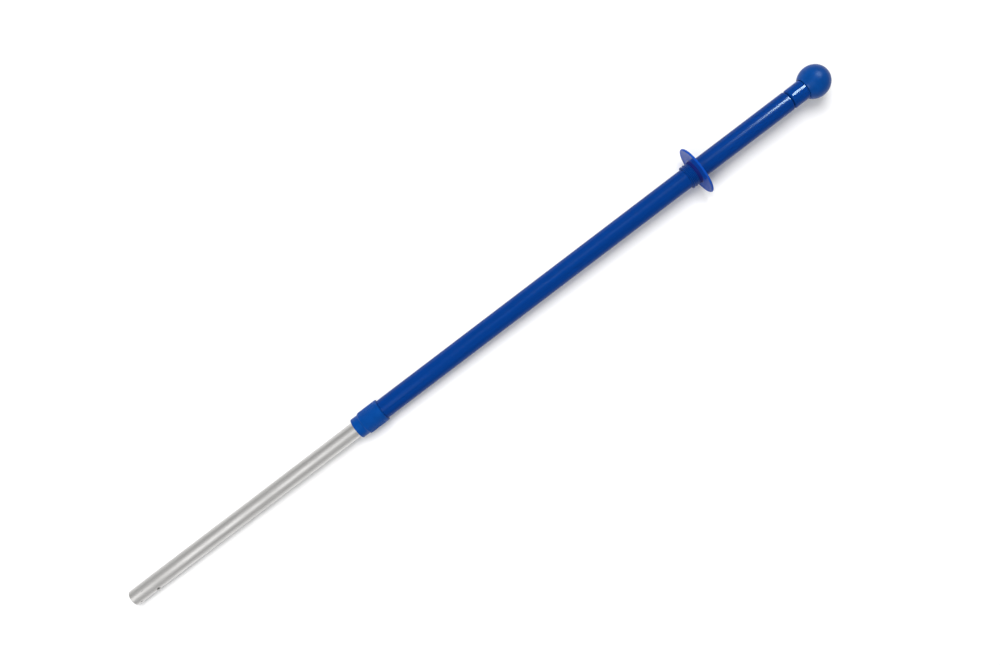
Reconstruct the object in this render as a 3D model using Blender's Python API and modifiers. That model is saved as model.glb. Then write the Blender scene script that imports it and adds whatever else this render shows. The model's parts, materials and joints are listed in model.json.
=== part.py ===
"""Telescopic push pole: a tube-in-tube pole with a twist lock, a sliding hand guard and a ball knob.

Metres, +Z up. The pole's axis runs along X, from the open tool end at -X to the knob at +X.
The origin is under the middle of the pole, at the level of the guard disc's lowest point.
Every turned piece is drawn as an outline of (radius, distance along the pole) points and
turned round the pole's axis, so each outline starts at its knob end and runs down its outer side.
"""

import math

import bpy
from mathutils import Matrix, Vector

# Stations along the pole, measured from the tool end.
POLE_LENGTH = 1.162
COLLAR_FRONT = 0.379
GUARD_FRONT = 0.930
TUBE_TOP = 1.098

# Tubes.
OUTER_RADIUS = 0.0140
OUTER_WALL = 0.0012
ROLL_RADIUS = 0.0020
INNER_RADIUS = 0.0110
INNER_WALL = 0.0012
INNER_LENGTH = 0.700
EDGE_BREAK = 0.0003

# Clearance between pieces that touch or slide on each other.
GAP = 0.0003

# Twist lock: stations from the collar's front.
COLLAR_LENGTH = 0.0430
NOSE_RADIUS = 0.0149
NOSE_LENGTH = 0.0112
GRIP_RADIUS = 0.0164
LIP_LENGTH = 0.0012
TUBE_START = 0.0300
THREAD_START = 0.0180
THREAD_RADIUS = 0.0146
CHAMBER_RADIUS = 0.0136
FINGER_START = 0.0080
FINGER_RADIUS = 0.0126
SLIT_WIDTH = 0.0016
SLIT_COUNT = 3
SLIT_OVERRUN = 0.0010
SLIT_STOP = 0.0165
FINGER_STEP = 0.0010
FINGER_TAPER_LENGTH = 0.0035
FINGER_TAPER = 0.0008
CHAMBER_STEP = 0.0020
WIPER_LENGTH = 0.0022
WEDGE_FRONT = 0.0042
WEDGE_BACK = 0.0104
WEDGE_EDGE = 0.0006
SPIGOT_LENGTH = 0.0280
PIN_STATION = 0.0365
PIN_SIDES = (("front", -1), ("back", 1))

# Guard: stations from the front of its sleeve.
GUARD_RADIUS = 0.0350
GUARD_THICKNESS = 0.0028
GUARD_FACE = 0.0152
BOSS_RADIUS = 0.0166
BARREL_RADIUS = 0.0152
SLEEVE_LENGTH = 0.0222
RIB_RADIUS = 0.0166
VALLEY_RADIUS = 0.0156
BOSS_CHAMFER = 0.0010
CLIP_RADIUS = BOSS_RADIUS + 0.0008
CLIP_LENGTH = 0.0014

# Knob: stations from the outer tube's top.
BALL_RADIUS = 0.0225
BALL_FLAT_RADIUS = 0.0156
NECK_START = 0.0012
SPINDLE_RADIUS = 0.0040
SPINDLE_CHAMFER = 0.0008
THRUST_WASHER_RADIUS = 0.0110
NECK_EDGE = 0.0020

# End plug and spindle: stations from the outer tube's top.
PLUG_END = -0.0400
PLUG_CHAMFER = 0.0008
POCKET_FLOOR = -0.0242
POCKET_RADIUS = 0.0085
BUSH_RADIUS = 0.0055
INSERT_RADIUS = 0.0060
INSERT_END = 0.0470
DRILL_POINT = 0.0015
SPINDLE_HIGH = 0.0464
SPINDLE_LOW = -0.0355
WASHER_RADIUS = 0.0075
WASHER_THICKNESS = 0.0012
NUT_RADIUS = 0.0075
NUT_HEIGHT = 0.0065

# Inner plug and its guide ring: stations from the inner tube's top.
PLUG_DEPTH = 0.0250
PLUG_PIN_DEPTH = 0.0120
FLANGE_RADIUS = 0.0118
GROOVE_RADIUS = 0.0102
AIR_HOLE_RADIUS = 0.0040
RING_LOW = 0.0026
RING_HIGH = 0.0120
HEAD_LENGTH = 0.0030
HEAD_BEVEL = 0.0010

# The guard sleeve's ribs and the grooves inside it: stations from its front.
RIB_ENDS = ((0.0, 0.0024), (0.0044, 0.0064), (0.0084, 0.0104))
RIB_SPACE = 0.0020
GRIP_GROOVES = ((0.0030, 0.0054), (0.0072, 0.0096))
GRIP_GROOVE_RADIUS = 0.0152

# Pin and locating holes of the inner tube.
HOLE_STATION = 0.0368
HOLE_RADIUS = 0.0026
LOCATING_STATION = 0.0080
LOCATING_RADIUS = 0.0013
HOLE_ANGLE = math.radians(64)
PIN_RADIUS = 0.0015

# Facets round a full turn, in multiples of four, with a flat one facing down. The pole lies on a flat
# of its guard disc, which is coarse so that the flat is wide enough to keep it from rolling.
FINE = 40
COARSE = 24
SHARP_ANGLE = math.radians(35)
MERGE_DISTANCE = 0.00001

AXIS_HEIGHT = GUARD_RADIUS * math.cos(math.pi / COARSE)
TOOL_END = -POLE_LENGTH / 2
COLLAR_X = TOOL_END + COLLAR_FRONT
GUARD_X = TOOL_END + GUARD_FRONT
TOP_X = TOOL_END + TUBE_TOP
TUBE_START_X = COLLAR_X + TUBE_START
INNER_TOP_X = TOOL_END + INNER_LENGTH
INNER_BORE = INNER_RADIUS - INNER_WALL
OUTER_BORE = OUTER_RADIUS - OUTER_WALL
BALL_CENTRE = POLE_LENGTH - TUBE_TOP - BALL_RADIUS
BALL_FLAT = BALL_CENTRE - math.sqrt(BALL_RADIUS**2 - BALL_FLAT_RADIUS**2)


def clear_scene():
    for obj in list(bpy.data.objects):
        bpy.data.objects.remove(obj, do_unlink=True)


def new_collection(name):
    collection = bpy.data.collections.new(name)
    bpy.context.scene.collection.children.link(collection)
    return collection


def new_material(name, colour, roughness, metallic=0.0):
    material = bpy.data.materials.new(name)
    material.use_nodes = True
    shader = material.node_tree.nodes["Principled BSDF"]
    shader.inputs["Base Color"].default_value = (*colour, 1.0)
    shader.inputs["Roughness"].default_value = roughness
    shader.inputs["Metallic"].default_value = metallic
    return material


def new_body(name, x, parent=None):
    """An empty on the pole's axis, which the pieces that move together hang from."""
    body = bpy.data.objects.new(name, None)
    body.empty_display_size = GUARD_RADIUS
    body.location = (x, 0.0, AXIS_HEIGHT)
    PARTS.objects.link(body)
    bpy.context.view_layer.update()
    hang(body, parent)
    return body


def hang(obj, parent):
    """Parents obj to a body and leaves it where it is."""
    if parent is not None:
        obj.parent = parent
        obj.matrix_parent_inverse = parent.matrix_world.inverted()
    bpy.context.view_layer.update()


def arc(radius, centre, start, end, steps):
    """Points of an outline on a circle, by angle in degrees from straight outwards to the knob."""
    points = []
    for step in range(steps + 1):
        angle = math.radians(start + (end - start) * step / steps)
        points.append((centre[0] + radius * math.cos(angle), centre[1] + radius * math.sin(angle)))
    return points


def ring(inner, outer, low, high, bevel=0.0):
    """The outline of a plain ring, with its outer corners bevelled."""
    if bevel == 0:
        return [(outer, high), (outer, low), (inner, low), (inner, high)]
    return [
        (outer - bevel, high),
        (outer, high - bevel),
        (outer, low + bevel),
        (outer - bevel, low),
        (inner, low),
        (inner, high),
    ]


def turned(name, outline, x, body, material, facets=COARSE):
    """A piece turned round the pole's axis. An outline that doesn't start on the axis is a closed ring."""
    half_facet = math.pi / facets
    mesh = bpy.data.meshes.new(name)
    points = [
        (radius * math.cos(half_facet), radius * math.sin(half_facet), along)
        for radius, along in outline
    ]
    edges = [(i, i + 1) for i in range(len(points) - 1)]
    if outline[0][0] > 0:
        edges.append((len(points) - 1, 0))
    mesh.from_pydata(points, edges, [])
    obj = bpy.data.objects.new(name, mesh)
    obj.location = (x, 0.0, AXIS_HEIGHT)
    obj.rotation_euler = (0.0, math.pi / 2, 0.0)
    obj.data.materials.append(material)
    PARTS.objects.link(obj)
    screw = obj.modifiers.new("Turn", "SCREW")
    screw.axis = "Z"
    screw.steps = facets
    screw.render_steps = facets
    screw.use_merge_vertices = True
    screw.merge_threshold = MERGE_DISTANCE
    apply_modifiers(obj)
    shade_round(obj.data)
    hang(obj, body)
    return obj


def apply_modifiers(obj):
    bpy.context.view_layer.update()
    evaluated = obj.evaluated_get(bpy.context.evaluated_depsgraph_get())
    outline_mesh = obj.data
    obj.data = bpy.data.meshes.new_from_object(evaluated)
    obj.data.name = obj.name
    obj.modifiers.clear()
    bpy.data.meshes.remove(outline_mesh)


def shade_round(mesh):
    """Round faces are shaded smooth, and the turned edges between them stay sharp."""
    mesh.shade_smooth()
    mesh.set_sharp_from_angle(angle=SHARP_ANGLE)


def tidy_object(obj, name, collection):
    for owner in list(obj.users_collection):
        owner.objects.unlink(obj)
    collection.objects.link(obj)
    obj.name = name
    obj.data.name = name


def cut(obj, cutter):
    cutter.hide_render = True
    cutter.display_type = "WIRE"
    boolean = obj.modifiers.new(cutter.name, "BOOLEAN")
    boolean.operation = "DIFFERENCE"
    boolean.solver = "EXACT"
    boolean.object = cutter


def cross_rod(name, collection, x, radius, direction, near, far, facets=COARSE):
    """A round rod square to the pole's axis, from near to far along direction."""
    bpy.ops.mesh.primitive_cylinder_add(vertices=facets, radius=radius, depth=far - near)
    rod = bpy.context.object
    tidy_object(rod, name, collection)
    middle = Vector((x, 0.0, AXIS_HEIGHT)) + direction * (near + far) / 2
    rod.matrix_world = Matrix.Translation(middle) @ direction.to_track_quat("Z", "X").to_matrix().to_4x4()
    return rod


def slit_box(name, start, end, width, angle, offset=0.0):
    """A flat box along the pole's axis, turned about it, which reaches past the pole on both sides."""
    bpy.ops.mesh.primitive_cube_add(size=1.0)
    box = bpy.context.object
    tidy_object(box, name, CUTTERS)
    reach = 4 * OUTER_RADIUS
    box.data.transform(Matrix.Diagonal((end - start, reach, width, 1.0)))
    middle = Vector(((start + end) / 2, 0.0, AXIS_HEIGHT))
    turn = Matrix.Rotation(angle, 4, "X")
    box.matrix_world = Matrix.Translation(middle) @ turn @ Matrix.Translation((0.0, offset * reach / 2, 0.0))
    return box


# Outer pole


def make_outer_tube():
    """The blue tube. Its upper edge is rolled inwards over the end plug."""
    length = TUBE_TOP - COLLAR_FRONT - TUBE_START
    roll_centre = (OUTER_RADIUS - ROLL_RADIUS, length - ROLL_RADIUS)
    outline = arc(ROLL_RADIUS, roll_centre, 90, 0, 4)
    outline += [
        (OUTER_RADIUS, EDGE_BREAK),
        (OUTER_RADIUS - EDGE_BREAK, 0.0),
        (OUTER_BORE, 0.0),
    ]
    outline += arc(ROLL_RADIUS - OUTER_WALL, roll_centre, 0, 90, 2)
    tube = turned("outer_tube", outline, TUBE_START_X, OUTER_POLE, BLUE_COAT, FINE)
    for name, side in PIN_SIDES:
        direction = Vector((0.0, side, 0.0))
        x = COLLAR_X + PIN_STATION
        cutter = cross_rod(
            f"cut_tube_pin_{name}", CUTTERS, x, PIN_RADIUS + GAP, direction,
            OUTER_BORE - OUTER_WALL, OUTER_RADIUS + OUTER_WALL,
        )
        cut(tube, cutter)


def make_collet():
    """The plastic body in the tube's lower end: spigot, threaded shoulder and slit fingers."""
    bore = INNER_RADIUS + GAP
    spigot = OUTER_BORE - GAP
    shoulder = TUBE_START - GAP
    outline = [
        (spigot - EDGE_BREAK, TUBE_START + SPIGOT_LENGTH),
        (spigot, TUBE_START + SPIGOT_LENGTH - EDGE_BREAK),
        (spigot, shoulder),
        (THREAD_RADIUS, shoulder),
        (THREAD_RADIUS, THREAD_START),
        (FINGER_RADIUS, THREAD_START - FINGER_STEP),
        (FINGER_RADIUS, FINGER_START + FINGER_TAPER_LENGTH),
        (FINGER_RADIUS - FINGER_TAPER, FINGER_START),
        (bore, FINGER_START),
        (bore, TUBE_START + SPIGOT_LENGTH),
    ]
    collet = turned("collet_body", outline, COLLAR_X, OUTER_POLE, GREY_PLASTIC)
    start = COLLAR_X + FINGER_START - SLIT_OVERRUN
    end = COLLAR_X + SLIT_STOP
    for slit in range(SLIT_COUNT):
        angle = math.pi * (slit + 0.5) / SLIT_COUNT
        cut(collet, slit_box(f"cut_slit_{slit}", start, end, SLIT_WIDTH, angle))
    for name, side in PIN_SIDES:
        direction = Vector((0.0, side, 0.0))
        x = COLLAR_X + PIN_STATION
        cutter = cross_rod(
            f"cut_collet_pin_{name}", CUTTERS, x, PIN_RADIUS + GAP, direction,
            bore - OUTER_WALL, OUTER_BORE + OUTER_WALL,
        )
        cut(collet, cutter)


def make_collet_pins():
    """Two pins through the tube and the collet's spigot, under the lock sleeve."""
    for name, side in PIN_SIDES:
        pin = cross_rod(
            f"collet_pin_{name}", PARTS, COLLAR_X + PIN_STATION, PIN_RADIUS,
            Vector((0.0, side, 0.0)), INNER_RADIUS + 2 * GAP, OUTER_RADIUS - GAP,
        )
        pin.data.materials.append(STEEL)
        hang(pin, OUTER_POLE)


def make_end_plug():
    """The plug in the tube's top, which holds the spindle's bush and hides its nut in a pocket."""
    body = OUTER_BORE - GAP
    nose = OUTER_RADIUS - ROLL_RADIUS - GAP
    shoulder = -ROLL_RADIUS - 2 * GAP
    outline = [
        (nose, -GAP),
        (nose, shoulder),
        (body, shoulder - PLUG_CHAMFER),
        (body, PLUG_END),
        (POCKET_RADIUS, PLUG_END),
        (POCKET_RADIUS, POCKET_FLOOR),
        (BUSH_RADIUS + GAP, POCKET_FLOOR),
        (BUSH_RADIUS + GAP, -GAP),
    ]
    turned("end_plug", outline, TOP_X, OUTER_POLE, GREY_PLASTIC)


def make_plug_bush():
    bore = SPINDLE_RADIUS + GAP
    outline = ring(bore, BUSH_RADIUS, POCKET_FLOOR + 2 * GAP, -2 * GAP)
    turned("plug_bush", outline, TOP_X, OUTER_POLE, BRONZE)


# Twist lock


def make_lock_sleeve():
    """The stepped collar: a nut whose nose presses the thrust ring over the collet's fingers."""
    shoulder = NOSE_LENGTH + GRIP_RADIUS - NOSE_RADIUS
    rear = COLLAR_LENGTH - LIP_LENGTH
    thread_bore = THREAD_RADIUS + GAP
    outline = [
        (GRIP_RADIUS - LIP_LENGTH, COLLAR_LENGTH),
        (GRIP_RADIUS, rear),
        (GRIP_RADIUS, shoulder),
        (NOSE_RADIUS, NOSE_LENGTH),
    ]
    outline += arc(LIP_LENGTH, (NOSE_RADIUS - LIP_LENGTH, LIP_LENGTH), 0, -90, 3)
    outline += [
        (INNER_RADIUS + GAP, 0.0),
        (INNER_RADIUS + GAP, LIP_LENGTH),
        (CHAMBER_RADIUS, LIP_LENGTH),
        (CHAMBER_RADIUS, NOSE_LENGTH),
        (thread_bore, NOSE_LENGTH + CHAMBER_STEP),
        (thread_bore, COLLAR_LENGTH),
    ]
    turned("lock_sleeve", outline, COLLAR_X, LOCK_SLEEVE, BLUE_PLASTIC, FINE)


def make_thrust_ring():
    """The wedge ring: its bore widens to the back, so it squeezes the fingers as it is pressed on."""
    outer = CHAMBER_RADIUS - GAP
    outline = [
        (outer, WEDGE_BACK),
        (outer, WEDGE_FRONT),
        (INNER_RADIUS + GAP, WEDGE_FRONT),
        (INNER_RADIUS + GAP, WEDGE_FRONT + WEDGE_EDGE),
        (outer - WEDGE_EDGE, WEDGE_BACK),
    ]
    turned("thrust_ring", outline, COLLAR_X, THRUST_RING, BRONZE)


def make_wiper_ring():
    low = LIP_LENGTH + GAP
    outline = ring(INNER_RADIUS + GAP, CHAMBER_RADIUS - GAP, low, low + WIPER_LENGTH, EDGE_BREAK)
    turned("wiper_ring", outline, COLLAR_X, LOCK_SLEEVE, BLACK_RUBBER)


# Inner pole


def hole_direction():
    """Outwards through the pin hole: a little above level, on the side of -Y."""
    return Vector((0.0, -math.sin(HOLE_ANGLE), math.cos(HOLE_ANGLE)))


def make_inner_tube():
    """The bare tube. Its lower end is open, and takes a tool held by a cross pin."""
    outline = ring(INNER_BORE, INNER_RADIUS, 0.0, INNER_LENGTH, EDGE_BREAK)
    tube = turned("inner_tube", outline, TOOL_END, INNER_POLE, BARE_ALUMINIUM, FINE)
    through = INNER_RADIUS + INNER_WALL
    pin_hole = cross_rod(
        "cut_pin_hole", CUTTERS, TOOL_END + HOLE_STATION, HOLE_RADIUS,
        hole_direction(), -through, through,
    )
    locating_hole = cross_rod(
        "cut_locating_hole", CUTTERS, TOOL_END + LOCATING_STATION, LOCATING_RADIUS,
        hole_direction(), INNER_BORE - INNER_WALL, through,
    )
    plug_hole = cross_rod(
        "cut_tube_plug_hole", CUTTERS, INNER_TOP_X - PLUG_PIN_DEPTH, PIN_RADIUS + GAP,
        Vector((0.0, 0.0, 1.0)), -through, through,
    )
    for cutter in (pin_hole, locating_hole, plug_hole):
        cut(tube, cutter)


def make_inner_plug():
    """The plug in the inner tube's upper end, with a groove for the guide ring."""
    spigot = INNER_BORE - GAP
    flange_low = GAP
    flange_high = RING_LOW - GAP
    head_low = RING_HIGH + GAP
    head_high = head_low + HEAD_LENGTH
    outline = [
        (FLANGE_RADIUS - HEAD_BEVEL, head_high),
        (FLANGE_RADIUS, head_high - HEAD_BEVEL),
        (FLANGE_RADIUS, head_low),
        (GROOVE_RADIUS, head_low),
        (GROOVE_RADIUS, flange_high),
        (FLANGE_RADIUS, flange_high),
        (FLANGE_RADIUS, flange_low),
        (spigot, flange_low),
        (spigot, -PLUG_DEPTH),
        (AIR_HOLE_RADIUS, -PLUG_DEPTH),
        (AIR_HOLE_RADIUS, head_high),
    ]
    plug = turned("inner_plug", outline, INNER_TOP_X, INNER_POLE, GREY_PLASTIC)
    reach = INNER_RADIUS + INNER_WALL
    cutter = cross_rod(
        "cut_plug_pin", CUTTERS, INNER_TOP_X - PLUG_PIN_DEPTH, PIN_RADIUS + GAP,
        Vector((0.0, 0.0, 1.0)), -reach, reach,
    )
    cut(plug, cutter)


def make_plug_pin():
    reach = INNER_RADIUS - GAP
    pin = cross_rod(
        "plug_pin", PARTS, INNER_TOP_X - PLUG_PIN_DEPTH, PIN_RADIUS,
        Vector((0.0, 0.0, 1.0)), -reach, reach,
    )
    pin.data.materials.append(STEEL)
    hang(pin, INNER_POLE)


def make_guide_ring():
    """A split ring that centres the inner tube in the outer one."""
    outline = ring(GROOVE_RADIUS + GAP, OUTER_BORE - GAP, RING_LOW, RING_HIGH, EDGE_BREAK)
    guide = turned("guide_ring", outline, INNER_TOP_X, GUIDE, WHITE_PLASTIC)
    start = INNER_TOP_X + RING_LOW - SLIT_OVERRUN
    end = INNER_TOP_X + RING_HIGH + SLIT_OVERRUN
    cut(guide, slit_box("cut_ring_slit", start, end, SLIT_WIDTH, math.pi / 2, 1.0))


# Guard


def make_guard_sleeve():
    """The ringed sleeve on the outer tube, with two grooves inside for its rubber rings."""
    bore = OUTER_RADIUS + GAP
    outline = [
        (BARREL_RADIUS - EDGE_BREAK, SLEEVE_LENGTH),
        (BARREL_RADIUS, SLEEVE_LENGTH - EDGE_BREAK),
        (BARREL_RADIUS, RIB_ENDS[-1][1]),
    ]
    for low, high in reversed(RIB_ENDS):
        outline += [(RIB_RADIUS, high), (RIB_RADIUS, low)]
        if low > 0:
            outline += [(VALLEY_RADIUS, low), (VALLEY_RADIUS, low - RIB_SPACE)]
    outline.append((bore, 0.0))
    for low, high in GRIP_GROOVES:
        outline += [(bore, low), (GRIP_GROOVE_RADIUS, low), (GRIP_GROOVE_RADIUS, high), (bore, high)]
    outline.append((bore, SLEEVE_LENGTH))
    turned("guard_sleeve", outline, GUARD_X, GUARD_SLEEVE, BLUE_PLASTIC, FINE)


def make_grip_rings():
    for name, (low, high) in zip(("front", "back"), GRIP_GROOVES):
        outline = ring(OUTER_RADIUS + GAP, GRIP_GROOVE_RADIUS - GAP, low + GAP, high - GAP)
        turned(f"grip_ring_{name}", outline, GUARD_X, GUARD_SLEEVE, BLACK_RUBBER, FINE)


def make_guard_disc():
    """The disc and the short boss that turns on the sleeve's barrel."""
    bore = BARREL_RADIUS + GAP
    rim = GUARD_THICKNESS / 2
    outline = arc(rim, (GUARD_RADIUS - rim, GUARD_FACE + rim), 90, -90, 4)
    outline += [
        (BOSS_RADIUS + BOSS_CHAMFER, GUARD_FACE),
        (BOSS_RADIUS, GUARD_FACE - BOSS_CHAMFER),
        (BOSS_RADIUS, RIB_ENDS[-1][1] + GAP),
        (bore, RIB_ENDS[-1][1] + GAP),
        (bore, GUARD_FACE + GUARD_THICKNESS),
    ]
    turned("guard_disc", outline, GUARD_X, GUARD_DISC, BLUE_GLOSS)


def make_guard_clip():
    low = GUARD_FACE + GUARD_THICKNESS + GAP
    outline = ring(BARREL_RADIUS + GAP, CLIP_RADIUS, low, low + CLIP_LENGTH, EDGE_BREAK)
    turned("guard_clip", outline, GUARD_X, GUARD_SLEEVE, BLUE_PLASTIC, FINE)


# Knob


def make_knob_ball():
    """The ball, flat where it meets the neck, with a blind bore for its insert."""
    lowest = -math.degrees(math.acos(BALL_FLAT_RADIUS / BALL_RADIUS))
    outline = arc(BALL_RADIUS, (0.0, BALL_CENTRE), 90, lowest, 14)
    outline[0] = (0.0, BALL_CENTRE + BALL_RADIUS)
    outline += [
        (INSERT_RADIUS + GAP, BALL_FLAT),
        (INSERT_RADIUS + GAP, INSERT_END + GAP),
        (0.0, INSERT_END + GAP + DRILL_POINT),
    ]
    turned("knob_ball", outline, TOP_X, KNOB, BLUE_SATIN, FINE)


def make_knob_neck():
    end = BALL_FLAT - GAP
    outline = [(OUTER_RADIUS - EDGE_BREAK, end), (OUTER_RADIUS, end - EDGE_BREAK)]
    outline += arc(NECK_EDGE, (OUTER_RADIUS - NECK_EDGE, NECK_START + NECK_EDGE), 0, -90, 4)
    outline += [(SPINDLE_RADIUS + GAP, NECK_START), (SPINDLE_RADIUS + GAP, end)]
    turned("knob_neck", outline, TOP_X, KNOB, BLUE_GLOSS, FINE)


def make_knob_insert():
    outline = ring(SPINDLE_RADIUS + GAP, INSERT_RADIUS, BALL_FLAT + GAP, INSERT_END, EDGE_BREAK)
    turned("knob_insert", outline, TOP_X, KNOB, BRASS)


def make_knob_spindle():
    outline = [
        (0.0, SPINDLE_HIGH),
        (SPINDLE_RADIUS - SPINDLE_CHAMFER, SPINDLE_HIGH),
        (SPINDLE_RADIUS, SPINDLE_HIGH - SPINDLE_CHAMFER),
        (SPINDLE_RADIUS, SPINDLE_LOW + SPINDLE_CHAMFER),
        (SPINDLE_RADIUS - SPINDLE_CHAMFER, SPINDLE_LOW),
        (0.0, SPINDLE_LOW),
    ]
    turned("knob_spindle", outline, TOP_X, KNOB, STEEL)


def make_thrust_washer():
    outline = ring(SPINDLE_RADIUS + GAP, THRUST_WASHER_RADIUS, 0.0, NECK_START - GAP)
    turned("thrust_washer", outline, TOP_X, KNOB, WHITE_PLASTIC)


def make_nut_washer():
    high = POCKET_FLOOR - GAP
    outline = ring(SPINDLE_RADIUS + GAP, WASHER_RADIUS, high - WASHER_THICKNESS, high)
    turned("nut_washer", outline, TOP_X, KNOB, STEEL)


def make_spindle_nut():
    """A hexagon nut on the spindle's inner end."""
    bpy.ops.mesh.primitive_cylinder_add(vertices=6, radius=NUT_RADIUS, depth=NUT_HEIGHT)
    nut = bpy.context.object
    tidy_object(nut, "spindle_nut", PARTS)
    high = POCKET_FLOOR - GAP - WASHER_THICKNESS - GAP
    along_pole = Matrix.Rotation(math.pi / 2, 4, "Y")
    middle = Vector((TOP_X + high - NUT_HEIGHT / 2, 0.0, AXIS_HEIGHT))
    nut.matrix_world = Matrix.Translation(middle) @ along_pole
    nut.data.materials.append(STEEL)
    bpy.ops.mesh.primitive_cylinder_add(vertices=COARSE, radius=SPINDLE_RADIUS + GAP, depth=2 * NUT_HEIGHT)
    bore = bpy.context.object
    tidy_object(bore, "cut_nut_bore", CUTTERS)
    bore.matrix_world = nut.matrix_world.copy()
    cut(nut, bore)
    hang(nut, KNOB)


clear_scene()
PARTS = new_collection("push_pole")
CUTTERS = new_collection("cutters")

BLUE_COAT = new_material("blue_coat", (0.003, 0.053, 0.28), 0.28)
BLUE_PLASTIC = new_material("blue_plastic", (0.003, 0.070, 0.37), 0.45)
BLUE_GLOSS = new_material("blue_gloss", (0.004, 0.060, 0.32), 0.15)
BLUE_SATIN = new_material("blue_satin", (0.002, 0.075, 0.33), 0.42)
BARE_ALUMINIUM = new_material("bare_aluminium", (0.62, 0.61, 0.60), 0.38, 1.0)
GREY_PLASTIC = new_material("grey_plastic", (0.08, 0.085, 0.09), 0.5)
WHITE_PLASTIC = new_material("white_plastic", (0.75, 0.75, 0.72), 0.5)
BLACK_RUBBER = new_material("black_rubber", (0.02, 0.02, 0.02), 0.8)
BRONZE = new_material("bronze", (0.42, 0.27, 0.12), 0.4, 1.0)
BRASS = new_material("brass", (0.60, 0.44, 0.16), 0.3, 1.0)
STEEL = new_material("steel", (0.55, 0.56, 0.58), 0.3, 1.0)

OUTER_POLE = new_body("outer_pole", 0.0)
THRUST_RING = new_body("thrust_ring_axis", COLLAR_X, OUTER_POLE)
LOCK_SLEEVE = new_body("lock_sleeve_axis", COLLAR_X, THRUST_RING)
GUIDE = new_body("guide_axis", INNER_TOP_X, OUTER_POLE)
INNER_POLE = new_body("inner_pole", TOOL_END, GUIDE)
GUARD_SLEEVE = new_body("guard_sleeve_axis", GUARD_X, OUTER_POLE)
GUARD_DISC = new_body("guard_disc_axis", GUARD_X + GUARD_FACE, GUARD_SLEEVE)
KNOB = new_body("knob", TOP_X, OUTER_POLE)

make_outer_tube()
make_collet()
make_collet_pins()
make_end_plug()
make_plug_bush()
make_lock_sleeve()
make_thrust_ring()
make_wiper_ring()
make_inner_tube()
make_inner_plug()
make_plug_pin()
make_guide_ring()
make_guard_sleeve()
make_grip_rings()
make_guard_disc()
make_guard_clip()
make_knob_ball()
make_knob_neck()
make_knob_insert()
make_knob_spindle()
make_thrust_washer()
make_nut_washer()
make_spindle_nut()
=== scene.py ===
"""The looks of the telescopic push pole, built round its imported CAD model.

Metres, +Z up. The pole's axis runs along X, from the open tool end at -X to the knob at +X.
"""

import json
import math

import bmesh
import bpy
from mathutils import Matrix, Vector


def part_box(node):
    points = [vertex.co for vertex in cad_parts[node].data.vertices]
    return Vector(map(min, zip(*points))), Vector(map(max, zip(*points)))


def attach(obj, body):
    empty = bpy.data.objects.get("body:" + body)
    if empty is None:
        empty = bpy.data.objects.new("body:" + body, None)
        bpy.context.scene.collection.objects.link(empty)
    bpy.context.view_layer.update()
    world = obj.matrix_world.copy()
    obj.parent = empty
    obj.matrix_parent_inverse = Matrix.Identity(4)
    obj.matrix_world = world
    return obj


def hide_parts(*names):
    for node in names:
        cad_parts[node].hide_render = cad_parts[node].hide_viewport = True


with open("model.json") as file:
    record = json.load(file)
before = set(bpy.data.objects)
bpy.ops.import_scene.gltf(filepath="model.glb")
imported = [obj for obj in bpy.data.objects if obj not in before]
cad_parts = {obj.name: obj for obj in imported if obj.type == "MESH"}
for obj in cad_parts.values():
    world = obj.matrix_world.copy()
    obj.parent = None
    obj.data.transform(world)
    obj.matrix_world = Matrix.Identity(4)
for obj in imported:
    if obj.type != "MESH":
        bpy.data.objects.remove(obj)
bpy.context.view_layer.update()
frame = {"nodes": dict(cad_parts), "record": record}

# Facets round the CAD's turned pieces and its disc, round the fine ones made here, round cutters, and
# round one rib of the collar.
CAD_FACETS = 40
DISC_FACETS = 24
FINE_FACETS = 128
ROD_FACETS = 48
BEAD_FACETS = 64
BEAD_RINGS = 48
FACETS_PER_RIB = 6
SHARP_ANGLE = math.radians(34)
ON_AXIS = 1e-6

# Sizes that a node's box doesn't give.
OUTER_WALL = 0.0012
INNER_WALL = 0.0012
ROLL_RADIUS = 0.0020
EDGE_BREAK = 0.0003
GAP = 0.0003
PIN_RADIUS = 0.0015

NOSE_RADIUS = 0.0149
NOSE_LENGTH = 0.0112
LIP_LENGTH = 0.0012
CHAMBER_RADIUS = 0.0136
THREAD_RADIUS = 0.0146
THREAD_RUN_IN = 0.0020
GRIP_RIBS = 60
GRIP_RIB_DEPTH = 0.00028
GRIP_RIB_RUN_OUT = 0.0016
GRIP_PLAIN_START = 0.0012
GRIP_PLAIN_END = 0.0042
PIN_STATION = 0.0365

BARREL_RADIUS = 0.0152
RIB_ENDS = ((0.0, 0.0024), (0.0044, 0.0064), (0.0084, 0.0104))
RIB_RADIUS = 0.0166
VALLEY_RADIUS = 0.0156
GRIP_GROOVES = ((0.0030, 0.0054), (0.0072, 0.0096))
GRIP_GROOVE_RADIUS = 0.0152
BOSS_RADIUS = 0.0166
BOSS_FILLET = 0.0016
DISC_THICKNESS = 0.0028
RIM_BEAD = 0.0016
RIM_BEAD_HEIGHT = 0.00025
RIM_ARC = 78

SPINDLE_RADIUS = 0.0040
INSERT_RADIUS = 0.0060
DRILL_POINT = 0.0015
BALL_FLAT_RADIUS = 0.0156
NECK_EDGE = 0.0026

HOLE_STATION = 0.0368
HOLE_RADIUS = 0.0026
LOCATING_STATION = 0.0080
LOCATING_RADIUS = 0.0013
HOLE_ANGLE = math.radians(64)
DRILLED_MARGIN = 0.006
PLUG_PIN_DEPTH = 0.0120
DIMPLE_STATION = 0.0193
DIMPLE_ANGLE = math.radians(-10)
DIMPLE_TOOL_RADIUS = 0.0030
DIMPLE_DEPTH = 0.0003

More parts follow.
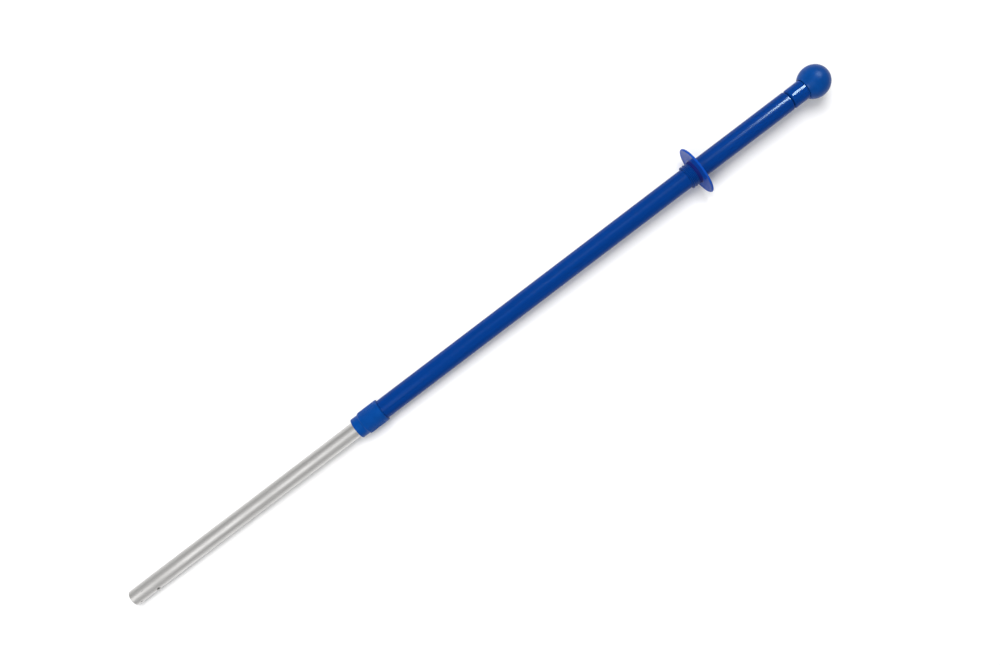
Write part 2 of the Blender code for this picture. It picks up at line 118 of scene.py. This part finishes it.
# How far apart the rings of an outline lie along the straight runs of each piece.
UPPER_TUBE_PITCH = 0.05
LOWER_TUBE_PITCH = 0.06
DRILLED_PITCH = 0.001
DRILLED_BORE_PITCH = 0.004
GRIP_PITCH = 0.0008
NOSE_PITCH = 0.003
NECK_PITCH = 0.006
# One plain band at each tube's end that the lock or the other tube hides.
HIDDEN_BAND = 0.02

BODY_OF = {node: body for body, nodes in frame["record"]["behaviour"]["bodies"].items() for node in nodes}
SLOT_OF = {part["node"]: part["material_slot"] for part in frame["record"]["subparts"]}


def ends(node):
    """Where a node starts and ends along the pole."""
    low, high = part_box(node)
    return low.x, high.x


def radius(node, facets=CAD_FACETS):
    """The radius of a turned node. Its box touches the facets, and its outline lies on their corners."""
    low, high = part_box(node)
    return (high.z - low.z) / 2 / math.cos(math.pi / facets)


AXIS_Z = sum(corner.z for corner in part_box("outer_tube")) / 2
OUTER_RADIUS = radius("outer_tube")
INNER_RADIUS = radius("inner_tube")
TOOL_END = ends("inner_tube")[0]


# Shapes


def arc(size, centre, start, end, steps):
    """Points of an outline on a circle, by angle in degrees from straight outwards towards the knob."""
    points = []
    for step in range(steps + 1):
        angle = math.radians(start + (end - start) * step / steps)
        points.append((centre[0] + size * math.cos(angle), centre[1] + size * math.sin(angle)))
    return points


def stations(size, start, end, pitch):
    """Points of an outline on a straight run along the pole, no more than pitch apart."""
    count = max(1, math.ceil(abs(end - start) / pitch))
    return [(size, start + (end - start) * step / count) for step in range(count + 1)]


def turned(name, outline, facets=FINE_FACETS, relief=None):
    """A piece whose (radius, x) points are turned round the axis. Off the axis they form a closed ring."""
    shape = bmesh.new()
    rings = []
    for size, x in outline:
        if size < ON_AXIS:
            rings.append([shape.verts.new((x, 0.0, AXIS_Z))] * facets)
            continue
        ring = []
        for facet in range(facets):
            angle = 2 * math.pi * facet / facets
            reach = relief(size, x, angle) if relief else size
            ring.append(shape.verts.new((x, reach * math.sin(angle), AXIS_Z + reach * math.cos(angle))))
        rings.append(ring)
    following = rings[1:]
    if outline[0][0] > ON_AXIS:
        following.append(rings[0])
    for near, far in zip(rings, following):
        for facet in range(facets):
            after = (facet + 1) % facets
            corners = dict.fromkeys((near[facet], near[after], far[after], far[facet]))
            shape.faces.new(list(corners))
    bmesh.ops.recalc_face_normals(shape, faces=shape.faces[:])
    mesh = bpy.data.meshes.new(name)
    shape.to_mesh(mesh)
    shape.free()
    obj = bpy.data.objects.new(name, mesh)
    bpy.context.scene.collection.objects.link(obj)
    return obj


def shade(obj):
    obj.data.shade_smooth()
    obj.data.set_sharp_from_angle(angle=SHARP_ANGLE)


def rod(x, size, direction, near, far):
    """A cutter: a round rod square to the pole's axis."""
    bpy.ops.mesh.primitive_cylinder_add(vertices=ROD_FACETS, radius=size, depth=far - near)
    cutter = bpy.context.object
    middle = Vector((x, 0.0, AXIS_Z)) + direction * (near + far) / 2
    cutter.matrix_world = Matrix.Translation(middle) @ direction.to_track_quat("Z", "X").to_matrix().to_4x4()
    return cutter


def bead(x, size, direction, reach):
    """A cutter: a ball whose centre is reach from the pole's axis."""
    bpy.ops.mesh.primitive_uv_sphere_add(segments=BEAD_FACETS, ring_count=BEAD_RINGS, radius=size)
    cutter = bpy.context.object
    cutter.location = Vector((x, 0.0, AXIS_Z)) + direction * reach
    return cutter


def cut(obj, cutters):
    """Cuts the cutters out of a piece, for good, and removes them."""
    for cutter in cutters:
        boolean = obj.modifiers.new("Cut", "BOOLEAN")
        boolean.operation = "DIFFERENCE"
        boolean.solver = "EXACT"
        boolean.object = cutter
    bpy.context.view_layer.update()
    evaluated = obj.evaluated_get(bpy.context.evaluated_depsgraph_get())
    uncut = obj.data
    obj.data = bpy.data.meshes.new_from_object(evaluated)
    obj.data.name = obj.name
    obj.modifiers.clear()
    bpy.data.meshes.remove(uncut)
    for cutter in cutters:
        bpy.data.objects.remove(cutter, do_unlink=True)


def across(angle):
    """The direction square to the pole at an angle from straight up towards -Y."""
    return Vector((0.0, -math.sin(angle), math.cos(angle)))


# Materials

# The part of a noise pattern's range that its colours and roughness run over.
NOISE_LOW = 0.3
NOISE_HIGH = 0.7


class Look:
    """A procedural material on a Principled shader, whose patterns lie in the piece's own coordinates."""

    def __init__(self, name, **inputs):
        self.material = bpy.data.materials.new(name)
        self.material.use_nodes = True
        self.tree = self.material.node_tree
        self.shader = self.tree.nodes["Principled BSDF"]
        self.place = self.tree.nodes.new("ShaderNodeTexCoord")
        self.height = None
        for title, value in inputs.items():
            self.shader.inputs[title.replace("_", " ")].default_value = value

    def pattern(self, scale, stretch=(1.0, 1.0, 1.0), detail=4.0):
        """Noise with scale features a metre, which stretch spaces out along each axis."""
        mapping = self.tree.nodes.new("ShaderNodeMapping")
        mapping.inputs["Scale"].default_value = stretch
        noise = self.tree.nodes.new("ShaderNodeTexNoise")
        noise.inputs["Scale"].default_value = scale
        noise.inputs["Detail"].default_value = detail
        self.tree.links.new(self.place.outputs["Object"], mapping.inputs["Vector"])
        self.tree.links.new(mapping.outputs["Vector"], noise.inputs["Vector"])
        return noise.outputs["Fac"]

    def colour(self, fac, dark, light, low=NOISE_LOW, high=NOISE_HIGH):
        """The base colour runs from dark to light over a pattern's range from low to high."""
        ramp = self.tree.nodes.new("ShaderNodeValToRGB")
        ramp.color_ramp.elements[0].position = low
        ramp.color_ramp.elements[0].color = (*dark, 1.0)
        ramp.color_ramp.elements[1].position = high
        ramp.color_ramp.elements[1].color = (*light, 1.0)
        self.tree.links.new(fac, ramp.inputs["Fac"])
        self.tree.links.new(ramp.outputs["Color"], self.shader.inputs["Base Color"])

    def reach(self):
        """The distance from the pole's axis."""
        mapping = self.tree.nodes.new("ShaderNodeMapping")
        mapping.inputs["Location"].default_value = (0.0, 0.0, -AXIS_Z)
        mapping.inputs["Scale"].default_value = (0.0, 1.0, 1.0)
        length = self.tree.nodes.new("ShaderNodeVectorMath")
        length.operation = "LENGTH"
        self.tree.links.new(self.place.outputs["Object"], mapping.inputs["Vector"])
        self.tree.links.new(mapping.outputs["Vector"], length.inputs[0])
        return length.outputs["Value"]

    def spread(self, value, low, high, start, end):
        """Runs from start to end as the value goes from low to high, and stays there outside."""
        run = self.tree.nodes.new("ShaderNodeMapRange")
        run.inputs["From Min"].default_value = low
        run.inputs["From Max"].default_value = high
        run.inputs["To Min"].default_value = start
        run.inputs["To Max"].default_value = end
        self.tree.links.new(value, run.inputs["Value"])
        return run.outputs["Result"]

    def roughness(self, fac, smooth, rough):
        """The roughness runs from smooth to rough over a noise pattern."""
        value = self.spread(fac, NOISE_LOW, NOISE_HIGH, smooth, rough)
        self.tree.links.new(value, self.shader.inputs["Roughness"])

    def bump(self, fac, depth):
        """Adds relief of that depth in metres, on top of any that is there."""
        bump = self.tree.nodes.new("ShaderNodeBump")
        bump.inputs["Strength"].default_value = 1.0
        bump.inputs["Distance"].default_value = depth
        self.tree.links.new(fac, bump.inputs["Height"])
        if self.height is not None:
            self.tree.links.new(self.height, bump.inputs["Normal"])
        self.height = bump.outputs["Normal"]
        self.tree.links.new(self.height, self.shader.inputs["Normal"])


# Patterns drawn out along the pole.
ALONG = (0.02, 1.0, 1.0)
# The tints of a reflection in the moulded blue, in the gloss blues, and in the ball.
MOULDED_TINT = (0.16, 0.58, 1.0, 1.0)
GLOSS_TINT = (0.70, 0.92, 1.0, 1.0)
SATIN_TINT = (0.6, 0.8, 1.0, 1.0)
# The darkest and lightest colours of the moulded pieces. The hub's are the collar's moulded blue painted
# darker, as painted shade beside the disc.
COLLAR_BLUES = ((0.0006, 0.042, 0.220), (0.0012, 0.050, 0.262))
HUB_SHADED_BLUES = ((0.0005, 0.026, 0.160), (0.0010, 0.033, 0.195))


def coated_blue():
    """The tube's gloss coat: slightly wavy, with faint lines along it that the guard has rubbed."""
    look = Look("coated_blue", IOR=1.5, Specular_IOR_Level=0.08, Specular_Tint=GLOSS_TINT)
    look.colour(look.pattern(220.0, ALONG), (0.0002, 0.030, 0.180), (0.0005, 0.035, 0.210))
    look.roughness(look.pattern(900.0, ALONG, 6.0), 0.11, 0.18)
    look.bump(look.pattern(420.0), 0.000001)
    look.bump(look.pattern(1500.0, ALONG), 0.000001)
    return look.material


def moulded_blue(name, dark, light):
    """The moulded plastic of the collar, the hub and its ring, with a fine spark-eroded grain."""
    look = Look(name, IOR=1.46, Specular_IOR_Level=0.25, Specular_Tint=MOULDED_TINT)
    look.colour(look.pattern(90.0), dark, light)
    look.roughness(look.pattern(600.0, detail=6.0), 0.34, 0.48)
    look.bump(look.pattern(2600.0, detail=6.0), 0.00006)
    return look.material


def gloss_blue():
    """The neck's and its washer's polished plastic, with a slight waviness."""
    look = Look("gloss_blue", IOR=1.5, Specular_IOR_Level=0.08, Specular_Tint=GLOSS_TINT)
    look.colour(look.pattern(60.0), (0.0004, 0.034, 0.195), (0.0009, 0.040, 0.230))
    look.roughness(look.pattern(350.0, detail=5.0), 0.07, 0.11)
    look.bump(look.pattern(140.0, detail=2.0), 0.000001)
    return look.material


def guard_blue():
    """The disc's polished plastic, painted dark on its boss as painted shade and light on its thin web as
    painted light shining through.
    """
    look = Look("guard_blue", IOR=1.5, Specular_IOR_Level=0.03, Specular_Tint=GLOSS_TINT)
    # Painted shade and light: the colour runs from the dark boss to the light web by distance from the axis.
    boss_shade_to_web_light = look.spread(look.reach(), BOSS_RADIUS, BOSS_RADIUS + BOSS_FILLET, 0.0, 1.0)
    look.colour(boss_shade_to_web_light, (0.008, 0.016, 0.140), (0.004, 0.060, 0.370), 0.0, 1.0)
    look.roughness(look.pattern(350.0, detail=5.0), 0.10, 0.19)
    look.bump(look.pattern(140.0, detail=2.0), 0.000008)
    return look.material


def satin_blue():
    """The ball's satin plastic, with a fine even texture, a little handled."""
    look = Look("satin_blue", IOR=1.48, Specular_IOR_Level=0.12, Specular_Tint=SATIN_TINT)
    look.colour(look.pattern(110.0), (0.0004, 0.044, 0.215), (0.0009, 0.052, 0.250))
    look.roughness(look.pattern(260.0, detail=6.0), 0.29, 0.37)
    look.bump(look.pattern(3200.0, detail=5.0), 0.00004)
    return look.material


def drawn_aluminium():
    """The bare tube: draw lines along it, a few deeper ones, and cloudy patches."""
    look = Look("drawn_aluminium", Metallic=1.0)
    look.colour(look.pattern(160.0, ALONG, 6.0), (0.585, 0.578, 0.565), (0.705, 0.70, 0.69))
    look.roughness(look.pattern(40.0, (0.4, 1.0, 1.0), 6.0), 0.50, 0.60)
    look.bump(look.pattern(2600.0, ALONG, 6.0), 0.000012)
    look.bump(look.pattern(700.0, ALONG, 3.0), 0.000006)
    return look.material


def dark_plastic():
    look = Look("dark_plastic", IOR=1.46)
    look.colour(look.pattern(140.0), (0.060, 0.064, 0.068), (0.092, 0.097, 0.102))
    look.roughness(look.pattern(500.0), 0.42, 0.58)
    look.bump(look.pattern(2200.0), 0.00005)
    return look.material


def white_acetal():
    look = Look("white_acetal", IOR=1.48)
    look.colour(look.pattern(180.0), (0.66, 0.66, 0.62), (0.78, 0.78, 0.75))
    look.roughness(look.pattern(420.0), 0.38, 0.52)
    look.bump(look.pattern(1800.0), 0.00003)
    return look.material


def black_rubber():
    look = Look("black_rubber", IOR=1.52)
    look.colour(look.pattern(260.0), (0.013, 0.013, 0.014), (0.030, 0.030, 0.031))
    look.roughness(look.pattern(700.0), 0.72, 0.9)
    look.bump(look.pattern(2600.0), 0.00006)
    return look.material


def sintered_bronze():
    look = Look("sintered_bronze", Metallic=1.0)
    look.colour(look.pattern(1800.0, detail=6.0), (0.30, 0.185, 0.08), (0.47, 0.30, 0.135))
    look.roughness(look.pattern(900.0), 0.38, 0.55)
    look.bump(look.pattern(3000.0), 0.00005)
    return look.material


def turned_brass():
    look = Look("turned_brass", Metallic=1.0)
    look.colour(look.pattern(300.0), (0.53, 0.38, 0.13), (0.66, 0.49, 0.19))
    look.roughness(look.pattern(1600.0, (1.0, 0.1, 0.1)), 0.24, 0.38)
    look.bump(look.pattern(2600.0, (1.0, 0.1, 0.1)), 0.00002)
    return look.material


def plain_steel():
    look = Look("plain_steel", Metallic=1.0)
    look.colour(look.pattern(240.0), (0.47, 0.48, 0.50), (0.60, 0.61, 0.63))
    look.roughness(look.pattern(1400.0, (1.0, 0.15, 0.15)), 0.24, 0.40)
    look.bump(look.pattern(2400.0, (1.0, 0.15, 0.15)), 0.00002)
    return look.material


LOOKS = {
    "blue_coat": coated_blue(),
    "blue_plastic": moulded_blue("moulded_blue", *COLLAR_BLUES),
    "blue_gloss": gloss_blue(),
    "blue_satin": satin_blue(),
    "bare_aluminium": drawn_aluminium(),
    "grey_plastic": dark_plastic(),
    "white_plastic": white_acetal(),
    "black_rubber": black_rubber(),
    "bronze": sintered_bronze(),
    "brass": turned_brass(),
    "steel": plain_steel(),
}


# Pieces


def stand_for(obj, node, look=None):
    """obj takes a CAD node's place: its body, its slot and that slot's look, unless it has its own."""
    shade(obj)
    obj.data.materials.clear()
    obj.data.materials.append(look or LOOKS[SLOT_OF[node]])
    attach(obj, BODY_OF[node])
    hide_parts(node)


def make_upper_tube():
    """The blue tube. Its upper edge is rolled inwards over the end plug."""
    low, high = ends("outer_tube")
    bore = OUTER_RADIUS - OUTER_WALL
    roll = (OUTER_RADIUS - ROLL_RADIUS, high - ROLL_RADIUS)
    outline = arc(ROLL_RADIUS, roll, 90, 0, 10)
    outline += stations(OUTER_RADIUS, high - ROLL_RADIUS - EDGE_BREAK, low + HIDDEN_BAND, UPPER_TUBE_PITCH)
    outline += [(OUTER_RADIUS, low + EDGE_BREAK), (OUTER_RADIUS - EDGE_BREAK, low), (bore, low)]
    outline += arc(ROLL_RADIUS - OUTER_WALL, roll, 0, 90, 6)
    tube = turned("upper_tube", outline)
    x = ends("lock_sleeve")[0] + PIN_STATION
    cutters = [
        rod(x, PIN_RADIUS + GAP, Vector((0.0, side, 0.0)), bore - OUTER_WALL, OUTER_RADIUS + OUTER_WALL)
        for side in (-1, 1)
    ]
    cut(tube, cutters)
    stand_for(tube, "outer_tube")


def make_twist_collar():
    """The stepped collar: a smooth nose, a shoulder, and a grip with fine ribs along it."""
    low, high = ends("lock_sleeve")
    grip = radius("lock_sleeve")
    nose_end = low + NOSE_LENGTH
    grip_start = nose_end + grip - NOSE_RADIUS
    bore = INNER_RADIUS + GAP
    thread_bore = THREAD_RADIUS + GAP
    outline = arc(LIP_LENGTH, (grip - LIP_LENGTH, high - LIP_LENGTH), 90, 0, 6)
    outline += stations(grip, high - LIP_LENGTH - EDGE_BREAK, grip_start + EDGE_BREAK, GRIP_PITCH)
    outline.append((grip - EDGE_BREAK, grip_start - EDGE_BREAK))
    outline.append((NOSE_RADIUS + EDGE_BREAK, nose_end + EDGE_BREAK))
    outline += stations(NOSE_RADIUS, nose_end - EDGE_BREAK, low + LIP_LENGTH + EDGE_BREAK, NOSE_PITCH)
    outline += arc(LIP_LENGTH, (NOSE_RADIUS - LIP_LENGTH, low + LIP_LENGTH), 0, -90, 8)
    outline += [
        (bore + EDGE_BREAK, low),
        (bore, low + EDGE_BREAK),
        (bore, low + LIP_LENGTH),
        (CHAMBER_RADIUS, low + LIP_LENGTH),
        (CHAMBER_RADIUS, nose_end),
        (thread_bore, nose_end + THREAD_RUN_IN),
        (thread_bore, high),
    ]
    rib_start = grip_start + GRIP_PLAIN_START
    rib_end = high - GRIP_PLAIN_END

    def ribbed(size, x, angle):
        inside = min(x - rib_start, rib_end - x) / GRIP_RIB_RUN_OUT
        if size < grip - ON_AXIS or inside <= 0:
            return size
        fade = min(1.0, inside)
        wave = 0.5 - 0.5 * math.cos(GRIP_RIBS * angle)
        return size - GRIP_RIB_DEPTH * wave * fade

    collar = turned("twist_collar", outline, GRIP_RIBS * FACETS_PER_RIB, ribbed)
    stand_for(collar, "lock_sleeve")


def make_lower_tube():
    """The bare tube, with its pin hole, its locating hole and a small dimple near the open end."""
    low, high = ends("inner_tube")
    bore = INNER_RADIUS - INNER_WALL
    drilled = HOLE_STATION + DRILLED_MARGIN
    outline = [(INNER_RADIUS - EDGE_BREAK, high), (INNER_RADIUS, high - EDGE_BREAK)]
    outline += stations(INNER_RADIUS, high - HIDDEN_BAND, low + drilled, LOWER_TUBE_PITCH)
    drilled_start = low + drilled - DRILLED_PITCH
    outline += stations(INNER_RADIUS, drilled_start, low + 2 * EDGE_BREAK, DRILLED_PITCH)
    outline += [
        (INNER_RADIUS - 0.1 * EDGE_BREAK, low + EDGE_BREAK),
        (INNER_RADIUS - EDGE_BREAK, low),
        (bore + EDGE_BREAK, low),
        (bore, low + EDGE_BREAK),
    ]
    outline += stations(bore, low + 2 * DRILLED_PITCH, low + drilled, DRILLED_BORE_PITCH)
    outline.append((bore, high))
    tube = turned("lower_tube", outline)
    through = INNER_RADIUS + INNER_WALL
    hole_way = across(HOLE_ANGLE)
    dimple_way = across(DIMPLE_ANGLE)
    dimple_reach = INNER_RADIUS + DIMPLE_TOOL_RADIUS - DIMPLE_DEPTH
    cutters = [
        rod(low + HOLE_STATION, HOLE_RADIUS, hole_way, -through, through),
        rod(low + LOCATING_STATION, LOCATING_RADIUS, hole_way, bore - INNER_WALL, through),
        rod(high - PLUG_PIN_DEPTH, PIN_RADIUS + GAP, Vector((0.0, 0.0, 1.0)), -through, through),
        bead(low + DIMPLE_STATION, DIMPLE_TOOL_RADIUS, dimple_way, dimple_reach),
    ]
    cut(tube, cutters)
    stand_for(tube, "inner_tube")


def make_hub():
    """The ringed sleeve that slides on the tube, with the grooves of its rubber rings inside."""
    low, high = ends("guard_sleeve")
    bore = OUTER_RADIUS + GAP
    last_rib = RIB_ENDS[-1][1]
    outline = [(BARREL_RADIUS - EDGE_BREAK, high), (BARREL_RADIUS, high - EDGE_BREAK)]
    outline.append((BARREL_RADIUS, low + last_rib))
    edge = (RIB_ENDS[0][1] - RIB_ENDS[0][0]) / 3
    for rib, (front, back) in reversed(list(enumerate(RIB_ENDS))):
        outline += arc(edge, (RIB_RADIUS - edge, low + back - edge), 90, 0, 5)
        outline += arc(edge, (RIB_RADIUS - edge, low + front + edge), 0, -90, 5)
        if rib > 0:
            outline.append((VALLEY_RADIUS, low + front))
            outline.append((VALLEY_RADIUS, low + RIB_ENDS[rib - 1][1]))
    outline += [(bore + EDGE_BREAK, low), (bore, low + EDGE_BREAK)]
    for front, back in GRIP_GROOVES:
        outline += [
            (bore, low + front),
            (GRIP_GROOVE_RADIUS, low + front),
            (GRIP_GROOVE_RADIUS, low + back),
            (bore, low + back),
        ]
    outline.append((bore, high))
    # The hub's moulded blue is painted darker than the collar's, as painted shade beside the disc.
    look = moulded_blue("hub_blue", *HUB_SHADED_BLUES)
    stand_for(turned("guard_hub", outline), "guard_sleeve", look)


def make_hand_guard():
    """The disc, with a shallow bead round its rim and a fillet into its boss."""
    low, high = ends("guard_disc")
    face = high - DISC_THICKNESS
    size = radius("guard_disc", DISC_FACETS)
    rim = DISC_THICKNESS / 2
    bore = BARREL_RADIUS + GAP
    bead_in = size - rim - RIM_BEAD
    outline = [(bore, high), (bead_in, high)]
    outline += [(bead_in + RIM_BEAD / 2, high + RIM_BEAD_HEIGHT / 2)]
    outline += arc(rim, (size - rim, face + rim), RIM_ARC, -RIM_ARC, 14)
    outline += [(bead_in + RIM_BEAD / 2, face - RIM_BEAD_HEIGHT / 2), (bead_in, face)]
    outline += arc(BOSS_FILLET, (BOSS_RADIUS + BOSS_FILLET, face - BOSS_FILLET), 90, 180, 6)
    outline += arc(EDGE_BREAK, (BOSS_RADIUS - EDGE_BREAK, low + EDGE_BREAK), 0, -90, 3)
    outline.append((bore, low))
    stand_for(turned("hand_guard", outline), "guard_disc", guard_blue())


def make_guard_ring():
    """The push-on ring behind the disc."""
    low, high = ends("guard_clip")
    size = radius("guard_clip")
    edge = (high - low) / 3
    outline = arc(edge, (size - edge, high - edge), 90, 0, 5)
    outline += arc(edge, (size - edge, low + edge), 0, -90, 5)
    outline += [(BARREL_RADIUS + GAP, low), (BARREL_RADIUS + GAP, high)]
    stand_for(turned("guard_ring", outline), "guard_clip")


def make_ball():
    """The ball, flat where it meets its neck, with a blind bore for its insert."""
    low, high = ends("knob_ball")
    size = radius("knob_ball")
    centre = high - size
    lowest = -math.degrees(math.acos(BALL_FLAT_RADIUS / size))
    bore = INSERT_RADIUS + GAP
    bore_end = ends("knob_insert")[1] + GAP
    outline = arc(size, (0.0, centre), 90, lowest, 56)
    outline[0] = (0.0, high)
    outline += [
        (BALL_FLAT_RADIUS - EDGE_BREAK, low),
        (bore + EDGE_BREAK, low),
        (bore, low + EDGE_BREAK),
        (bore, bore_end),
        (0.0, bore_end + DRILL_POINT),
    ]
    stand_for(turned("ball", outline), "knob_ball")


def make_neck():
    """The glossy neck between the tube and the ball."""
    low, high = ends("knob_neck")
    bore = SPINDLE_RADIUS + GAP
    outline = [(bore, high), (OUTER_RADIUS - EDGE_BREAK, high)]
    outline += stations(OUTER_RADIUS, high - EDGE_BREAK, low + NECK_EDGE + EDGE_BREAK, NECK_PITCH)
    outline += arc(NECK_EDGE, (OUTER_RADIUS - NECK_EDGE, low + NECK_EDGE), 0, -90, 10)
    outline.append((bore, low))
    stand_for(turned("neck", outline), "knob_neck")


make_upper_tube()
make_twist_collar()
make_lower_tube()
make_hub()
make_hand_guard()
make_guard_ring()
make_ball()
make_neck()

# The washer's rim shows in the groove below the neck, and is as blue as the groove's sides.
SHOWN_LOOKS = {"thrust_washer": LOOKS["blue_gloss"]}

for node, obj in frame["nodes"].items():
    if not obj.hide_render:
        obj.material_slots[0].material = SHOWN_LOOKS.get(node, LOOKS[SLOT_OF[node]])


# Floor, light and camera. The pole rests on its guard disc and its tool end, so the floor's normal leans.

FLOOR_CLEARANCE = 0.0003
DISC_X = ends("guard_disc")[1] - DISC_THICKNESS / 2
DISC_LOW = AXIS_Z - radius("guard_disc", DISC_FACETS)
TUBE_LOW = AXIS_Z - INNER_RADIUS
LEAN = math.atan2(TUBE_LOW - DISC_LOW, DISC_X - TOOL_END)
TIP = Matrix.Translation((DISC_X, 0.0, DISC_LOW - FLOOR_CLEARANCE)) @ Matrix.Rotation(LEAN, 4, "Y")
UP = TIP.to_3x3() @ Vector((0.0, 0.0, 1.0))

FLOOR_SIZE = 14.0
CAMERA_TURN = math.radians(37.23)
CAMERA_TARGET = Vector((0.0286, -0.0132, AXIS_Z))
CAMERA_DISTANCE = 1.293
CAMERA_LENS = 34.92
SENSOR_WIDTH = 36.0

# Each light's place, its length and width, and its radiance.
KEY = ((0.40, 0.92, 2.60), (1.40, 1.40), 10.8)
SHEEN = ((-1.35, -0.16, 2.60), (1.90, 1.80), 2.5)
GLINT = ((1.458, 0.459, 1.249), (1.10, 1.10), 110.0)
BALL_GLOW = ((1.458, 0.459, 1.249), (0.90, 0.90), 19.0)
BALL_SPOT = ((-0.574, -0.025, 0.431), (0.25, 0.25), 55.0)
SHEEN_TARGET_X = -0.40
WORLD_STRENGTH = 0.42


def make_floor():
    bpy.ops.mesh.primitive_plane_add(size=FLOOR_SIZE)
    floor = bpy.context.object
    floor.name = "floor"
    floor.matrix_world = TIP
    look = Look("white_card", IOR=1.3)
    look.colour(look.pattern(1.5), (0.90, 0.90, 0.905), (0.92, 0.92, 0.92))
    look.roughness(look.pattern(30.0), 0.85, 0.95)
    floor.data.materials.append(look.material)


def make_light(name, facts, target, only_on=()):
    """A soft box that faces target. Its length lies along the pole.

    A light with only_on is round, shines in the gloss of those pieces, and lights nothing else.
    """
    place, (length, width), radiance = facts
    data = bpy.data.lights.new(name, "AREA")
    data.shape = "ELLIPSE" if only_on else "RECTANGLE"
    data.size = length
    data.size_y = width
    fill = math.pi / 4 if only_on else 1.0
    data.energy = math.pi * length * width * fill * radiance
    light = bpy.data.objects.new(name, data)
    bpy.context.scene.collection.objects.link(light)
    back = (Vector(place) - Vector(target)).normalized()
    side = Vector((0.0, 1.0, 0.0)).cross(back).normalized()
    up = back.cross(side)
    facing = Matrix((side, up, back)).transposed().to_4x4()
    light.matrix_world = Matrix.Translation(place) @ facing
    if only_on:
        light.visible_diffuse = False
        light.light_linking.receiver_collection = bpy.data.collections.new(name)
        for piece in only_on:
            light.light_linking.receiver_collection.objects.link(bpy.data.objects[piece])
    return light


def make_lights():
    """The key throws the shadow and is kept out of reflections. The others make the highlights."""
    middle = Vector((0.0, 0.0, AXIS_Z))
    ball = (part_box("knob_ball")[0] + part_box("knob_ball")[1]) / 2
    key = make_light("key", KEY, middle)
    key.visible_glossy = False
    make_light("sheen", SHEEN, (SHEEN_TARGET_X, 0.0, AXIS_Z))
    make_light("glint", GLINT, ball, only_on=("upper_tube", "neck"))
    make_light("ball_glow", BALL_GLOW, ball, only_on=("ball",))
    make_light("ball_spot", BALL_SPOT, ball, only_on=("ball",))


def make_world():
    world = bpy.data.worlds.new("studio")
    bpy.context.scene.world = world
    world.use_nodes = True
    background = world.node_tree.nodes["Background"]
    background.inputs["Color"].default_value = (1.0, 1.0, 1.0, 1.0)
    background.inputs["Strength"].default_value = WORLD_STRENGTH


def make_camera():
    """Over the pole, square to the floor, and turned so that the pole runs up to the right."""
    data = bpy.data.cameras.new("camera")
    data.sensor_width = SENSOR_WIDTH
    data.lens = CAMERA_LENS
    camera = bpy.data.objects.new("camera", data)
    bpy.context.scene.collection.objects.link(camera)
    along = TIP.to_3x3() @ Vector((1.0, 0.0, 0.0))
    side = TIP.to_3x3() @ Vector((0.0, 1.0, 0.0))
    right = along * math.cos(CAMERA_TURN) - side * math.sin(CAMERA_TURN)
    top = along * math.sin(CAMERA_TURN) + side * math.cos(CAMERA_TURN)
    axes = Matrix((right, top, UP)).transposed().to_4x4()
    camera.matrix_world = Matrix.Translation(CAMERA_TARGET + UP * CAMERA_DISTANCE) @ axes
    bpy.context.scene.camera = camera


make_floor()
make_lights()
make_world()
make_camera()
bpy.context.scene.view_settings.view_transform = "Standard"
